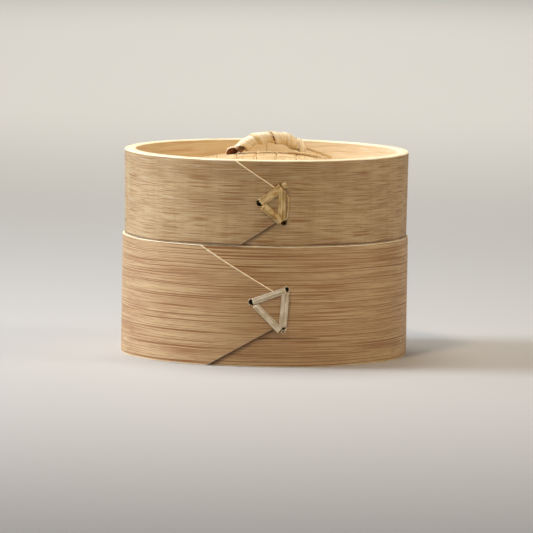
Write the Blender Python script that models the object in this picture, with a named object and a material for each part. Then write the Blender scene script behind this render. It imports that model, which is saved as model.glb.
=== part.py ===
"""Round bamboo steamer: one basket tier and its lid, made of bent, woven and laced bamboo.

Metres, +Z up. The origin is the middle of the bottom edge, and the laps face -Y.
The lid lifts off along +Z: its pieces are parented to the empty "lid_axis" on that axis.
"""
import math

import bmesh
import bpy
from mathutils import Matrix, Vector

MM = 0.001

# Clearances
GAP = 0.3 * MM              # between pieces that touch
LAP_GAP = 0.1 * MM          # between a hoop's end and its own start
LID_FIT = 0.65 * MM         # between the lid's hoop and the basket's spigot

# Basket wall, from outside to inside
BASKET_RADIUS = 75.0 * MM
BASKET_HEIGHT = 62.4 * MM
OUTER_STRIP = 1.3 * MM      # thickness of both outer hoops
MIDDLE_STRIP = 1.0 * MM
INNER_STRIP = 2.8 * MM      # thickness of the basket's inner hoop and of its grate ring
SPIGOT_RISE = 4.0 * MM      # how far the inner hoop stands above the rim

# Grate
RECESS_DEPTH = 5.5 * MM     # open space under the grate ring, for the spigot of a tier below
GRATE_RING_HEIGHT = 5.5 * MM
SLAT_COUNT = 11
SLAT_SPACE = 3.2 * MM
SLAT_EDGE = 7.0 * MM        # from the bore to the outermost slats
SLAT_THICKNESS = 2.0 * MM
BAR_WIDTH = 9.0 * MM
BAR_HEIGHT = 3.6 * MM
BAR_OFFSET = 22.0 * MM      # from the middle to each cross bar
PEG_RADIUS = 1.0 * MM
PEG_DEPTH = 9.0 * MM        # length of peg inside the bar

# Lid wall
LID_INSET = 0.95 * MM       # how much smaller the lid's radius is than the basket's
LID_HEIGHT = 44.2 * MM
LID_FLARE = 0.6 * MM        # how much wider the lid's radius is at its top
LID_INNER_STRIP = 4.2 * MM
LIFT_ROOM = 1.0 * MM        # from the spigot's top to the lid's lower inner hoop

# Woven panel
PANEL_SPLINTS = 13          # in each direction
SPLINT_SPACE = 1.2 * MM
SPLINT_THICKNESS = 0.8 * MM
PANEL_EDGE = 1.2 * MM       # from the bore to the outermost splints
PANEL_GRIP = 2.4 * MM       # width of the panel's edge between the inner hoops
CROWN_DROP = 1.5 * MM       # from the lid's rim down to the panel's highest point
DOME_FALL = 14.6 * MM       # from the panel's middle to its edge at the bore

# Laps: arc length from the front where each cut edge leaves the strip's own edge, and the
# point's arc length with the half height of its blunt end
LID_LAP_TOP = -16.0 * MM
LID_LAP_BOTTOM = -13.8 * MM
LID_LAP_POINT = 8.3 * MM
LID_POINT_RISE = 6.8 * MM
BASKET_LAP_TOP = -33.9 * MM
BASKET_LAP_BOTTOM = -30.1 * MM
BASKET_LAP_POINT = 9.4 * MM
BASKET_POINT_RISE = 6.9 * MM
LAP_BLEND = math.radians(60.0)     # arc over which a hoop's end steps out over its start
LAP_COVER = math.radians(14.0)     # overlap hidden beyond the cut edges

# Lacing holes: arc length from the front, and height from the lap's middle
HOLE_RADIUS = 1.8 * MM
LACE_WIDTH = 3.2 * MM
LACE_THICKNESS = 0.6 * MM
LACE_POST = 1.3 * MM        # radius of the lacing inside a hole
LACE_TAIL = 4.5 * MM
LID_HOLE_EDGE = 2.5 * MM    # from a hole's middle to the edge of the inner hoop that it is in
LID_LACE_DROP = 9.8 * MM
LID_HOLE_ARCS = (-3.1 * MM, 7.9 * MM, 9.5 * MM)
BASKET_LAP_HEIGHT = 29.8 * MM      # middle of the basket's lap
BASKET_HOLE_ARCS = (-6.7 * MM, 11.1 * MM, 9.3 * MM)
BASKET_HOLE_RISES = (4.0 * MM, 10.5 * MM, -9.5 * MM)

# Handle
HANDLE_TURN = math.radians(12.0)
HANDLE_SHIFT = 1.9 * MM
HANDLE_HALF_SPAN = 18.5 * MM
HANDLE_RISE = 11.3 * MM     # from the panel's crown to the handle's highest point
HANDLE_ARCH = 8.0 * MM      # rise of the arch's centre line
HANDLE_POWER = 2.5          # 2 is a parabola, more is flatter on top
WRAP_RADIUS = 3.5 * MM
WRAP_THICKNESS = 0.9 * MM
CORE_WIDTH = 3.4 * MM
CORE_TAIL = 13.0 * MM       # length of the core splints that lies on the panel
CORE_BEND = 2.5 * MM
CORE_SPREAD = math.radians(9.0)
BIND_WIDTH = 3.5 * MM
BIND_THICKNESS = 0.5 * MM

TURN_STEPS = 72             # segments in a full turn of a hoop

# Radii and heights that follow
MIDDLE_INSET = OUTER_STRIP + GAP
MIDDLE_BORE = BASKET_RADIUS - MIDDLE_INSET - MIDDLE_STRIP
LID_RADIUS = BASKET_RADIUS - LID_INSET
SPIGOT_RADIUS = min(LID_RADIUS - OUTER_STRIP - LID_FIT, MIDDLE_BORE - GAP)
BASKET_BORE = SPIGOT_RADIUS - INNER_STRIP
GRATE_RING_TOP = RECESS_DEPTH + GRATE_RING_HEIGHT
SLAT_MIDDLE = GRATE_RING_TOP + GAP + SLAT_THICKNESS / 2
SLAT_TOP = SLAT_MIDDLE + SLAT_THICKNESS / 2
SLAT_RADIUS = MIDDLE_BORE - 2 * GAP
SLAT_STEP = (2 * (BASKET_BORE - SLAT_EDGE) + SLAT_SPACE) / SLAT_COUNT
BAR_MIDDLE = GRATE_RING_TOP - BAR_HEIGHT / 2
BAR_RADIUS = BASKET_BORE - 2 * GAP
LID_BOTTOM = BASKET_HEIGHT + GAP
LID_TOP = LID_BOTTOM + LID_HEIGHT
LID_INNER_INSET = OUTER_STRIP + GAP
WEAVE_STEP = (SPLINT_THICKNESS + GAP) / 2              # a splint's rise or fall at a crossing
PANEL_HALF = WEAVE_STEP + SPLINT_THICKNESS / 2         # half the thickness of the weave
PANEL_BORE = LID_RADIUS - LID_INNER_INSET - LID_INNER_STRIP
PANEL_RADIUS = PANEL_BORE + PANEL_GRIP
PANEL_STEP = (2 * (PANEL_BORE - PANEL_EDGE) + SPLINT_SPACE) / PANEL_SPLINTS
CROWN_TOP = LID_TOP - CROWN_DROP
DOME_MIDDLE = CROWN_TOP - PANEL_HALF
DOME_CURVE = DOME_FALL / PANEL_BORE ** 2
UPPER_HOOP_BOTTOM = DOME_MIDDLE - DOME_CURVE * PANEL_BORE ** 2 + PANEL_HALF + GAP
LOWER_HOOP_TOP = DOME_MIDDLE - DOME_CURVE * PANEL_RADIUS ** 2 - PANEL_HALF - GAP
LOWER_HOOP_BOTTOM = BASKET_HEIGHT + SPIGOT_RISE + LIFT_ROOM
LID_LAP_HEIGHT = LOWER_HOOP_TOP - LID_HOLE_EDGE
LID_HOLE_HEIGHTS = (LID_LAP_HEIGHT, UPPER_HOOP_BOTTOM + LID_HOLE_EDGE, LID_LAP_HEIGHT - LID_LACE_DROP)
LACE_LIFT = OUTER_STRIP + LAP_GAP + GAP                # the lacing rides over the lap
WRAP_BORE = WRAP_RADIUS - WRAP_THICKNESS
CORE_THICKNESS = math.sqrt((WRAP_BORE - GAP) ** 2 - (CORE_WIDTH / 2) ** 2) - GAP / 2
HANDLE_BASE = CROWN_TOP + HANDLE_RISE - WRAP_RADIUS - HANDLE_ARCH


def bamboo(name, colour, roughness):
    material = bpy.data.materials.new(name)
    material.use_nodes = True
    shader = material.node_tree.nodes["Principled BSDF"]
    shader.inputs["Base Color"].default_value = (*colour, 1.0)
    shader.inputs["Roughness"].default_value = roughness
    shader.inputs["Metallic"].default_value = 0.0
    material.diffuse_color = (*colour, 1.0)
    return material


def place(name, body, material, parent=None):
    """Turn a bmesh into a named object, its faces pointing out."""
    bmesh.ops.recalc_face_normals(body, faces=body.faces)
    mesh = bpy.data.meshes.new(name)
    body.to_mesh(mesh)
    body.free()
    mesh.shade_smooth()
    mesh.set_sharp_from_angle(angle=math.radians(30))
    if material:
        mesh.materials.append(material)
    piece = bpy.data.objects.new(name, mesh)
    bpy.context.scene.collection.objects.link(piece)
    piece.parent = parent
    return piece


def guide(name, body):
    """An object that only cuts or joins others."""
    piece = place(name, body, None)
    piece.hide_render = True
    piece.display_type = "WIRE"
    return piece


def combine(piece, other, operation):
    modifier = piece.modifiers.new(other.name, "BOOLEAN")
    modifier.operation = operation
    modifier.object = other


def loft(rings, closed=False):
    """A closed body through equal rings of points; open ends are capped."""
    body = bmesh.new()
    rows = [[body.verts.new(point) for point in ring] for ring in rings]
    pairs = list(zip(rows, rows[1:]))
    if closed:
        pairs.append((rows[-1], rows[0]))
    else:
        body.faces.new(rows[0])
        body.faces.new(list(reversed(rows[-1])))
    for first, second in pairs:
        for i in range(len(first)):
            k = (i + 1) % len(first)
            body.faces.new((first[i], second[i], second[k], first[k]))
    return body


def rod(start, end, radius, sides=12):
    """A round rod between two points."""
    axis = (end - start).normalized()
    across = axis.orthogonal().normalized()
    other = axis.cross(across)
    turns = [2 * math.pi * i / sides for i in range(sides)]
    return [[middle + radius * (math.cos(a) * across + math.sin(a) * other) for a in turns]
            for middle in (start, end)]


def rods(name, ends, radius):
    """Several separate rods in one guide."""
    joined = bmesh.new()
    for start, end in ends:
        mesh = bpy.data.meshes.new(name)
        single = loft(rod(start, end, radius))
        bmesh.ops.recalc_face_normals(single, faces=single.faces)
        single.to_mesh(mesh)
        single.free()
        joined.from_mesh(mesh)
        bpy.data.meshes.remove(mesh)
    return guide(name, joined)


def on_wall(radius, angle, height):
    """A point on a round wall; angle 0 is the front, and it grows towards +X."""
    return Vector((radius * math.sin(angle), -radius * math.cos(angle), height))


def basket_wall(height):
    return BASKET_RADIUS


def lid_wall(height):
    return LID_RADIUS + LID_FLARE * (height - LID_BOTTOM) / LID_HEIGHT


def section(wall, angle, lift, thickness, low, high):
    """A strip's cross-section: outer face at lift from the wall's surface."""
    return [on_wall(wall(height) + lift - depth, angle, height)
            for depth, height in ((0, low), (0, high), (thickness, high), (thickness, low))]


def plain_hoop(name, wall, inset, thickness, low, high, material, parent=None):
    """A bent strip whose ends meet at the back with a fine joint."""
    joint = GAP / 2 / BASKET_RADIUS
    angles = [-math.pi + 2 * math.pi * i / TURN_STEPS for i in range(TURN_STEPS + 1)]
    angles[0] += joint
    angles[-1] -= joint
    rings = [section(wall, angle, -inset, thickness, low, high) for angle in angles]
    return place(name, loft(rings), material, parent)


def lapped_hoop(name, wall, low, high, lap_top, lap_bottom, point, middle, rise, material, parent=None):
    """An outer strip whose pointed end laps over its start at the front.

    It starts hidden under the lap, runs to the right and once around, steps out by its own
    thickness before it comes back over its start, and ends in the point.
    """
    radius = wall((low + high) / 2)
    step = 2 * math.pi / TURN_STEPS
    start = min(lap_top, lap_bottom) / radius - LAP_COVER
    lifted = start + 2 * math.pi - step
    angles = [start + step * i for i in range(TURN_STEPS)]
    bends = sorted((lap_top, lap_bottom))
    arcs = bends + [bends[1] + (point - bends[1]) * share / 6 for share in range(1, 7)]
    angles += [arc / radius + 2 * math.pi for arc in arcs]

    rings = []
    for angle in angles:
        share = min(max((angle - lifted + LAP_BLEND) / LAP_BLEND, 0.0), 1.0)
        lift = (OUTER_STRIP + LAP_GAP) * share * share * (3 - 2 * share)
        arc = (angle - 2 * math.pi) * radius
        cut_low = max(0.0, (arc - lap_bottom) / (point - lap_bottom)) * (middle - rise - low)
        cut_high = max(0.0, (arc - lap_top) / (point - lap_top)) * (high - middle - rise)
        rings.append(section(wall, angle, lift, OUTER_STRIP, low + cut_low, high - cut_high))
    return place(name, loft(rings), material, parent)


def wall_rods(name, wall, holes, outside, inside, radius):
    """Rods through the wall at the lacing holes."""
    ends = []
    for arc, height in holes:
        angle = arc / wall(height)
        ends.append((on_wall(wall(height) + outside, angle, height),
                     on_wall(wall(height) - inside, angle, height)))
    return rods(name, ends, radius)


def lace_triangle(wall, holes, lift):
    """A flat triangle of strip through three holes, curved with the wall."""
    corners = [Vector(hole) for hole in holes]
    sides = [(corners[(i + 1) % 3] - corners[(i + 2) % 3]).length for i in range(3)]
    centre = sum((side * corner for side, corner in zip(sides, corners)), Vector((0, 0))) / sum(sides)
    edge = (corners[1] - corners[0]).normalized()
    to_centre = centre - corners[0]
    reach = abs(edge.x * to_centre.y - edge.y * to_centre.x)
    rings = []
    for i in range(3):
        for share in (0.0, 0.25, 0.5, 0.75):
            spot = corners[i].lerp(corners[(i + 1) % 3], share) - centre
            ring = []
            for scale, depth in ((1, 0), (1, 1), (-1, 1), (-1, 0)):
                flat = centre + spot * (1 + scale * LACE_WIDTH / 2 / reach)
                radius = wall(flat.y)
                ring.append(on_wall(radius + lift + depth * LACE_THICKNESS, flat.x / radius, flat.y))
            rings.append(ring)
    return loft(rings, closed=True)


def lace_band(wall, start, end, inset):
    """A flat strip on the inside of the wall, from one place to another."""
    start = Vector(start)
    end = Vector(end)
    along = (end - start).normalized()
    across = Vector((-along.y, along.x)) * LACE_WIDTH / 2
    start = start - along * LACE_WIDTH / 2
    end = end + along * LACE_WIDTH / 2
    rings = []
    for share in (0.0, 0.25, 0.5, 0.75, 1.0):
        spot = start.lerp(end, share)
        ring = []
        for side, depth in ((1, 0), (1, 1), (-1, 1), (-1, 0)):
            flat = spot + side * across
            radius = wall(flat.y)
            ring.append(on_wall(radius - inset - depth * LACE_THICKNESS, flat.x / radius, flat.y))
        rings.append(ring)
    return loft(rings)


def lacing(name, wall, holes, bore_inset, material, parent=None):
    """One strip: a triangle outside, through the three holes, and tied inside."""
    inset = bore_inset + 2 * GAP
    left, top, bottom = holes
    piece = place(name, lace_triangle(wall, holes, LACE_LIFT), material, parent)
    posts = wall_rods(name + "_posts", wall, holes, LACE_LIFT + LACE_THICKNESS / 2,
                      inset + LACE_THICKNESS / 2, LACE_POST)
    tie = guide(name + "_tie", lace_band(wall, left, bottom, inset))
    tail = guide(name + "_tail", lace_band(wall, top, (top[0], top[1] + LACE_TAIL), inset))
    for other in (posts, tie, tail):
        combine(piece, other, "UNION")
    return piece


def splint(name, offset, width, thickness, radius, height_at, breaks, along_x, material, parent=None):
    """A flat strip across a round opening, its ends cut to the circle of that radius.

    height_at gives its middle height at (along, across), and breaks are where it bends.
    """
    near = max(0.0, abs(offset) - width / 2)
    far = abs(offset) + width / 2
    tip = math.sqrt(radius ** 2 - (near + width / 10) ** 2)
    shoulder = math.sqrt(radius ** 2 - far ** 2)
    ends = [shoulder + (tip - shoulder) * share / 3 for share in range(4)]
    stops = sorted({-end for end in ends} | set(ends) | {b for b in breaks if abs(b) < tip - width / 10})
    rings = []
    for stop in stops:
        limit = math.sqrt(radius ** 2 - stop ** 2)
        sides = (max(offset - width / 2, -limit), min(offset + width / 2, limit))
        ring = []
        for across, up in ((sides[0], -1), (sides[1], -1), (sides[1], 1), (sides[0], 1)):
            height = height_at(stop, across) + up * thickness / 2
            ring.append(Vector((stop, across, height) if along_x else (across, stop, height)))
        rings.append(ring)
    return place(name, loft(rings), material, parent)


def row(count, step):
    """Evenly spaced places about the middle."""
    return [(i - (count - 1) / 2) * step for i in range(count)]


def dome(along, across):
    return DOME_MIDDLE - DOME_CURVE * (along ** 2 + across ** 2)


def weave_height(index, places, width):
    """Height of one splint of the weave, over and under those at the given places."""
    def height_at(along, across):
        step = places[1] - places[0]
        nearest = round((along - places[0]) / step)
        nearest = min(max(nearest, 0), len(places) - 1)
        side = 1 if (index + nearest) % 2 == 0 else -1
        past = abs(along - places[nearest]) - width / 2
        if 0 < nearest < len(places) - 1 or abs(along) < abs(places[nearest]):
            side *= 1 - 2 * min(max(past, 0.0) / (step - width), 1.0)
        return dome(along, across) + side * WEAVE_STEP
    return height_at


def woven_panel(material, parent):
    places = row(PANEL_SPLINTS, PANEL_STEP)
    width = PANEL_STEP - SPLINT_SPACE
    breaks = [place_at + side * width / 2 for place_at in places for side in (-1, 1)]
    for i, offset in enumerate(places):
        for along_x in (True, False):
            name = f"panel_splint_{'x' if along_x else 'y'}{i + 1:02d}"
            heights = weave_height(i + (0 if along_x else 1), places, width)
            splint(name, offset, width, SPLINT_THICKNESS, PANEL_RADIUS, heights, breaks, along_x,
                   material, parent)


def arch(share):
    """The handle's centre line in its own plane: distance along, and height."""
    return (HANDLE_HALF_SPAN * share, HANDLE_BASE + HANDLE_ARCH * (1 - abs(share) ** HANDLE_POWER))


def arch_slope(share):
    rise = HANDLE_ARCH * HANDLE_POWER * abs(share) ** (HANDLE_POWER - 1) / HANDLE_HALF_SPAN
    return -math.copysign(rise, share)


def clear_share(reach):
    """How far along each half of the arch a piece that reaches below it still clears the panel."""
    share = 1.0
    while share > 0:
        along, height = arch(share)
        tilt = math.atan(arch_slope(share))
        inward = along + reach * math.sin(tilt) - HANDLE_SHIFT
        if height - reach * math.cos(tilt) > CROWN_TOP - DOME_CURVE * inward ** 2 + GAP:
            break
        share -= 0.01
    return share


def handle_point(along, across, height):
    """A point beside the handle's plane, in the part's frame."""
    turned = Matrix.Rotation(HANDLE_TURN, 3, "Z") @ Vector((along, across, 0))
    return Vector((turned.x + HANDLE_SHIFT, turned.y, height))


def handle_ring(share, radius, sides=16):
    """A circle around the handle's centre line."""
    along, height = arch(share)
    tilt = math.atan(arch_slope(share))
    ring = []
    for i in range(sides):
        angle = 2 * math.pi * i / sides
        up = radius * math.sin(angle)
        ring.append(handle_point(along - up * math.sin(tilt), radius * math.cos(angle),
                                 height + up * math.cos(tilt)))
    return ring


def handle_wrap(material, parent):
    """The strip wound around the core, as a tube open at both ends."""
    shares = [clear_share(WRAP_RADIUS) * (i / 10 - 1) for i in range(21)]
    outside = [handle_ring(share, WRAP_RADIUS) for share in shares]
    inside = [handle_ring(share, WRAP_BORE) for share in reversed(shares)]
    place("handle_wrap", loft(outside + inside, closed=True), material, parent)


def core_line():
    """Centre line of the two core splints: along the arch, then bent to lie on the panel."""
    start = -clear_share(CORE_THICKNESS + GAP)
    end = clear_share(WRAP_RADIUS)
    points = [arch(start + (end - start) * i / 18) for i in range(19)]
    along, height = points[-1]
    slope = arch_slope(end)

    def rest(x):
        return CROWN_TOP - DOME_CURVE * (x + HANDLE_SHIFT) ** 2 + 1.5 * GAP + CORE_THICKNESS
    bend = along + (height - rest(along)) / -slope
    landing = bend + CORE_BEND
    for share in (0.25, 0.5, 0.75, 1.0):
        x = (1 - share) ** 2 * along + 2 * share * (1 - share) * bend + share ** 2 * landing
        z = (1 - share) ** 2 * height + 2 * share * (1 - share) * rest(bend) + share ** 2 * rest(landing)
        points.append((x, z))
    points += [(landing + CORE_TAIL * i / 3, rest(landing + CORE_TAIL * i / 3)) for i in (1, 2, 3)]
    return points, bend


def handle_core(name, side, material, parent):
    """One of two splints under the wrap; side is 1 for the upper one, which fans to the back."""
    points, bend = core_line()
    offset = side * (CORE_THICKNESS + GAP) / 2
    rings = []
    for i, (along, height) in enumerate(points):
        before = points[max(i - 1, 0)]
        after = points[min(i + 1, len(points) - 1)]
        tilt = math.atan2(after[1] - before[1], after[0] - before[0])
        sway = side * max(0.0, along - bend) * math.tan(CORE_SPREAD)
        ring = []
        for across, up in ((-1, -1), (1, -1), (1, 1), (-1, 1)):
            rise = offset + up * CORE_THICKNESS / 2
            ring.append(handle_point(along - rise * math.sin(tilt), sway + across * CORE_WIDTH / 2,
                                     height + rise * math.cos(tilt)))
        rings.append(ring)
    place(name, loft(rings), material, parent)


def handle_binding(material, parent):
    """A narrow strip over the handle's right foot, its legs reaching down to the panel."""
    half = BIND_WIDTH / 2
    share = clear_share(WRAP_RADIUS) - half / HANDLE_HALF_SPAN
    along, height = arch(share)
    tilt = math.atan(arch_slope(share))
    lowest = CROWN_TOP + GAP + half * abs(math.sin(tilt))
    leg = height - lowest
    inner = WRAP_RADIUS + GAP
    stops = [(-1.0, 0.0, -leg)] + [(-math.cos(a), math.sin(a), 0.0) for a in
                                   (math.pi * i / 10 for i in range(11))] + [(1.0, 0.0, -leg)]
    rings = []
    for across, up, drop in stops:
        ring = []
        for end, radius in ((-1, inner), (1, inner), (1, inner + BIND_THICKNESS), (-1, inner + BIND_THICKNESS)):
            ring.append(handle_point(along + end * half * math.cos(tilt), across * radius,
                                     height + up * radius / math.cos(tilt) + drop
                                     + end * half * math.sin(tilt)))
        rings.append(ring)
    place("handle_binding", loft(rings), material, parent)


def basket_hoops(material, inner_material):
    outer = lapped_hoop("basket_outer_hoop", basket_wall, 0.0, BASKET_HEIGHT, BASKET_LAP_TOP,
                        BASKET_LAP_BOTTOM, BASKET_LAP_POINT, BASKET_LAP_HEIGHT, BASKET_POINT_RISE, material)
    middle = plain_hoop("basket_middle_hoop", basket_wall, MIDDLE_INSET, MIDDLE_STRIP, 0.0,
                        BASKET_HEIGHT, inner_material)
    inset = BASKET_RADIUS - SPIGOT_RADIUS
    inner = plain_hoop("basket_inner_hoop", basket_wall, inset, INNER_STRIP, SLAT_TOP + GAP,
                       BASKET_HEIGHT + SPIGOT_RISE, inner_material)
    ring = plain_hoop("grate_ring", basket_wall, inset, INNER_STRIP, RECESS_DEPTH, GRATE_RING_TOP,
                      inner_material)
    holes = [(arc, BASKET_LAP_HEIGHT + rise) for arc, rise in zip(BASKET_HOLE_ARCS, BASKET_HOLE_RISES)]
    through = 2 * LACE_WIDTH
    cutter = wall_rods("basket_lace_holes", basket_wall, holes, through, BASKET_RADIUS - BASKET_BORE + through,
                       HOLE_RADIUS)
    for hoop in (outer, middle, inner):
        combine(hoop, cutter, "DIFFERENCE")
    return outer, middle, ring, holes


def grate(outer, middle, ring, material, peg_material):
    """Slats on the grate ring, two bars across under them, and the pegs that hold the bars."""
    for i, offset in enumerate(row(SLAT_COUNT, SLAT_STEP)):
        splint(f"grate_slat_{i + 1:02d}", offset, SLAT_STEP - SLAT_SPACE, SLAT_THICKNESS, SLAT_RADIUS,
               lambda along, across: SLAT_MIDDLE, [], False, material)
    for side, bar_name in ((-1, "front"), (1, "back")):
        offset = side * BAR_OFFSET
        bar = splint(f"grate_bar_{bar_name}", offset, BAR_WIDTH, BAR_HEIGHT, BAR_RADIUS,
                     lambda along, across: BAR_MIDDLE, [], True, material)
        bar_end = math.sqrt(BAR_RADIUS ** 2 - (BAR_OFFSET + BAR_WIDTH / 2) ** 2)
        peg_start = bar_end - PEG_DEPTH
        peg_end = math.sqrt(BASKET_RADIUS ** 2 - (BAR_OFFSET + PEG_RADIUS) ** 2)
        bores = []
        for way, peg_name in ((-1, "left"), (1, "right")):
            start = Vector((way * peg_start, offset, BAR_MIDDLE))
            end = Vector((way * peg_end, offset, BAR_MIDDLE))
            place(f"peg_{bar_name}_{peg_name}", loft(rod(start, end, PEG_RADIUS)), peg_material)
            bores.append((start - Vector((way * GAP, 0, 0)), end + Vector((way * BAR_WIDTH, 0, 0))))
        bore = rods(f"peg_bores_{bar_name}", bores, PEG_RADIUS + GAP)
        for piece in (bar, ring, middle, outer):
            combine(piece, bore, "DIFFERENCE")


def lid_hoops(material, inner_material, parent):
    outer = lapped_hoop("lid_outer_hoop", lid_wall, LID_BOTTOM, LID_TOP, LID_LAP_TOP, LID_LAP_BOTTOM,
                        LID_LAP_POINT, LID_LAP_HEIGHT - LACE_WIDTH / 3, LID_POINT_RISE, material, parent)
    upper = plain_hoop("lid_upper_hoop", lid_wall, LID_INNER_INSET, LID_INNER_STRIP, UPPER_HOOP_BOTTOM,
                       LID_TOP, inner_material, parent)
    lower = plain_hoop("lid_lower_hoop", lid_wall, LID_INNER_INSET, LID_INNER_STRIP, LOWER_HOOP_BOTTOM,
                       LOWER_HOOP_TOP, inner_material, parent)
    holes = list(zip(LID_HOLE_ARCS, LID_HOLE_HEIGHTS))
    through = 2 * LACE_WIDTH
    cutter = wall_rods("lid_lace_holes", lid_wall, holes, through, LID_RADIUS - PANEL_BORE + through,
                       HOLE_RADIUS)
    for hoop in (outer, upper, lower):
        combine(hoop, cutter, "DIFFERENCE")
    return holes


def main():
    for old in list(bpy.data.objects):
        bpy.data.objects.remove(old)

    basket_skin = bamboo("basket_skin_bamboo", (0.50, 0.29, 0.11), 0.42)
    lid_skin = bamboo("lid_skin_bamboo", (0.52, 0.37, 0.19), 0.48)
    inner_bamboo = bamboo("inner_bamboo", (0.79, 0.64, 0.39), 0.55)
    splint_bamboo = bamboo("splint_bamboo", (0.85, 0.70, 0.42), 0.5)
    lace_bamboo = bamboo("lace_bamboo", (0.53, 0.42, 0.24), 0.5)
    peg_bamboo = bamboo("peg_bamboo", (0.60, 0.42, 0.20), 0.55)

    outer, middle, ring, holes = basket_hoops(basket_skin, inner_bamboo)
    grate(outer, middle, ring, splint_bamboo, peg_bamboo)
    lacing("basket_lacing", basket_wall, holes, BASKET_RADIUS - BASKET_BORE, lace_bamboo)

    lid = bpy.data.objects.new("lid_axis", None)
    bpy.context.scene.collection.objects.link(lid)
    holes = lid_hoops(lid_skin, inner_bamboo, lid)
    woven_panel(splint_bamboo, lid)
    lacing("lid_lacing", lid_wall, holes, LID_INNER_INSET + LID_INNER_STRIP, lace_bamboo, lid)
    handle_wrap(splint_bamboo, lid)
    handle_core("handle_core_back", 1, splint_bamboo, lid)
    handle_core("handle_core_front", -1, splint_bamboo, lid)
    handle_binding(splint_bamboo, lid)
    bpy.context.view_layer.update()


main()
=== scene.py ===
"""Bamboo steamer basket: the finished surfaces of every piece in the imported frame.

Lengths are in metres. Each piece has a UV layer "grain", also in metres: first along its
strip, then around its section, so that the fibres bend, lap and weave with the bamboo.
"""
import math

import bmesh
import bpy
from mathutils import Matrix, Vector, noise


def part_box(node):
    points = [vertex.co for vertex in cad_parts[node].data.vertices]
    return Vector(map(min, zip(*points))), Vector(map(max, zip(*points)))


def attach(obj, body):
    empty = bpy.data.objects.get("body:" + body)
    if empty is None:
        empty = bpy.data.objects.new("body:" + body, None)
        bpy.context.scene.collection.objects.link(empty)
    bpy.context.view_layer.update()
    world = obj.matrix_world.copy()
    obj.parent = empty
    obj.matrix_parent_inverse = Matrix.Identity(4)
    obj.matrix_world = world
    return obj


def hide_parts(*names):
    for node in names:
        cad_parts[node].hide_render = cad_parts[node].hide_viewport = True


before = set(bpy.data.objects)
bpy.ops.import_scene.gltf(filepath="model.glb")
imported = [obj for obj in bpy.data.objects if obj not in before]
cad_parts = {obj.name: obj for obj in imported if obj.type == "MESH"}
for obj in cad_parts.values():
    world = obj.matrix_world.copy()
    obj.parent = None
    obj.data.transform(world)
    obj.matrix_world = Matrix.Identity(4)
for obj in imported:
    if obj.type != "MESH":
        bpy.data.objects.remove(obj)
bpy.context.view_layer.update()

MM = 0.001

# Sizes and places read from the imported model
BASKET_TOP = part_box("basket_outer_hoop")[1].z
BASKET_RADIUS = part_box("basket_outer_hoop")[1].y
LID_LOW, LID_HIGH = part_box("lid_outer_hoop")
SPIGOT_LOW, SPIGOT_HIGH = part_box("basket_inner_hoop")
RING_LOW, RING_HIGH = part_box("grate_ring")
UPPER_LOW, UPPER_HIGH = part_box("lid_upper_hoop")
LOWER_LOW, LOWER_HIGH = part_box("lid_lower_hoop")
WRAP_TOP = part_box("handle_wrap")[1].z
SLAT_LOW, SLAT_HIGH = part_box("grate_slat_06")
BAR_LOW, BAR_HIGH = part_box("grate_bar_back")
PANEL_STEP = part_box("panel_splint_x08")[0].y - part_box("panel_splint_x07")[0].y
SLAT_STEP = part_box("grate_slat_07")[0].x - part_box("grate_slat_06")[0].x

# How the basket is built
GAP = 0.3 * MM
OUTER_STRIP = 1.3 * MM
MIDDLE_STRIP = 1.0 * MM
MIDDLE_FILL = 0.15 * MM     # it is drawn thicker by this, so that its joint reads as one fine line
INNER_STRIP = 2.8 * MM
LID_INNER_STRIP = 4.2 * MM
LID_JOINT = 0.08 * MM       # the lid's inner hoops are drawn this close to its outer strip
LID_INSET = 0.95 * MM
LID_FLARE = 0.6 * MM
LID_RADIUS = BASKET_RADIUS - LID_INSET
SPIGOT_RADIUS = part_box("basket_inner_hoop")[1].x
PANEL_BORE = LID_RADIUS - OUTER_STRIP - GAP - LID_INNER_STRIP
PANEL_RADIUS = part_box("panel_splint_x07")[1].x
DOME_CURVE = 14.6 * MM / PANEL_BORE ** 2
PANEL_SPLINTS = 13
SPLINT_SPACE = 1.2 * MM
SPLINT_THICKNESS = 0.8 * MM
SPLINT_WAVER = 0.12 * MM    # how far a splint's sides stray from straight
WAVER_LENGTH = 20 * MM
TIP_PART = 10               # a splint's end is highest a tenth of its width in from one side
SLAT_COUNT = 11
LAP_STEP = OUTER_STRIP + 0.1 * MM
LAP_BLEND = math.radians(60.0)
LAP_COVER = math.radians(14.0)
HIDDEN_LIFT = math.radians(5.0)     # how far before its own start the lap is fully stepped out
RUBBED_EDGE = 0.55 * MM     # the rubbed corner that catches the light
CUT_CORNER = 0.12 * MM
INNER_CORNER = 0.2 * MM
PEG_RADIUS = 1.0 * MM
PEG_EASE = 0.1 * MM         # how much wider a peg's bore is
BORE_DEPTH = 9 * MM         # deep enough to cut through every strip of the wall
PEGS = ((-1, "front_left"), (1, "front_right"), (-1, "back_left"), (1, "back_right"))

# Laps. Arc lengths from the front where the cut edges leave the strip's edges, the blunt
# point's arc length, its middle height and half height
LID_LAP = (-16.0 * MM, -13.8 * MM, 8.3 * MM, LOWER_HIGH.z - 3.57 * MM, 6.8 * MM)
BASKET_LAP = (-33.9 * MM, -30.1 * MM, 9.4 * MM, 29.8 * MM, 6.9 * MM)

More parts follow.
